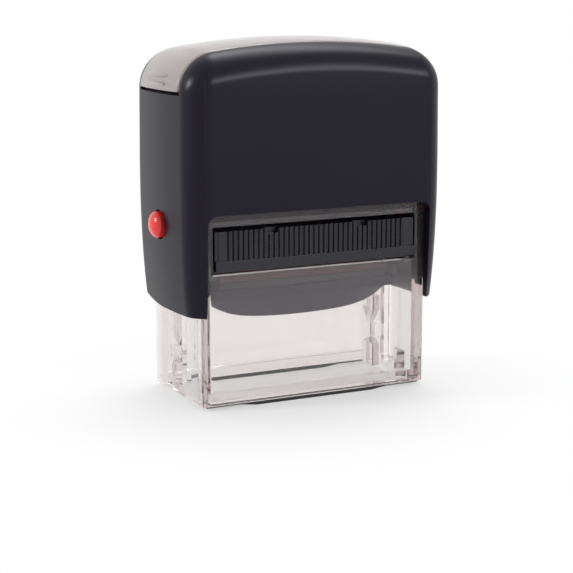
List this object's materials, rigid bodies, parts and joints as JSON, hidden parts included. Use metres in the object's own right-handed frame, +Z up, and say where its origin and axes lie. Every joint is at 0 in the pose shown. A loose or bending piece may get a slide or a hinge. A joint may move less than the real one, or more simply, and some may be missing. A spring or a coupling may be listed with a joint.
{
  "type": "self-inking stamp",
  "caption": "Pocket self-inking stamp: black sprung handle with clear index top, red lock buttons and ribbed ink cartridge over a smoky clear base with a flipping die plate.",
  "frame": {"origin": "middle of the plane that the feet rest on", "axes": "+Z up along the press stroke, -Y towards the front with the ink cartridge's grip, +X to the right seen from the front"},
  "size_m": [0.0614, 0.0298, 0.0721],
  "materials": {
    "smoky_clear": "clear, lightly smoked",
    "black_satin": "satin",
    "black_tray": "satin",
    "black_carrier": "matte",
    "red_button": "gloss",
    "red_felt": "inked felt",
    "clear_window": "clear, lightly smoked",
    "white_card": "uncoated paper",
    "dark_rubber": "matte",
    "grey_foam": "foam",
    "die_rubber": "matte, ink stained",
    "spring_steel": "drawn wire"
  },
  "bodies": {
    "base": {"base_frame": "smoky_clear", "foot_front": "dark_rubber", "foot_back": "dark_rubber", "press_spring": "spring_steel"},
    "cartridge": {"pad_tray": "black_tray", "ink_pad": "red_felt"},
    "handle": {"cap_shell": "black_satin", "index_card": "white_card"},
    "window": {"index_window": "clear_window"},
    "lock_left": {"lock_button_left": "red_button"},
    "lock_right": {"lock_button_right": "red_button"},
    "die_plate": {"die_carrier": "black_carrier", "foam_cushion": "grey_foam", "rubber_die": "die_rubber"}
  },
  "joints": [
    {"name": "press_slide", "type": "slide", "parent": "base", "child": "handle", "axis": [0, 0, -1], "range_m": [0, 0.0183], "stiffness_N_per_m": 400, "springref_m": -0.01, "deforming": ["press_spring"]},
    {"name": "plate_flip", "type": "hinge", "parent": "handle", "child": "die_plate", "pos_m": [0, 0, 0.0226], "axis": [1, 0, 0], "range_deg": [0, 180]},
    {"name": "pad_pull", "type": "slide", "parent": "base", "child": "cartridge", "axis": [0, 1, 0], "range_m": [-0.03, 0]},
    {"name": "window_lift", "type": "slide", "parent": "handle", "child": "window", "axis": [0, 0, 1], "range_m": [0, 0.012]},
    {"name": "lock_left_push", "type": "slide", "parent": "handle", "child": "lock_left", "axis": [1, 0, 0], "range_m": [0, 0.0012]},
    {"name": "lock_right_push", "type": "slide", "parent": "handle", "child": "lock_right", "axis": [-1, 0, 0], "range_m": [0, 0.0012]}
  ],
  "couplings": [
    {"joint": "plate_flip", "follows": "press_slide", "rad_per_m": 171.6}
  ]
}
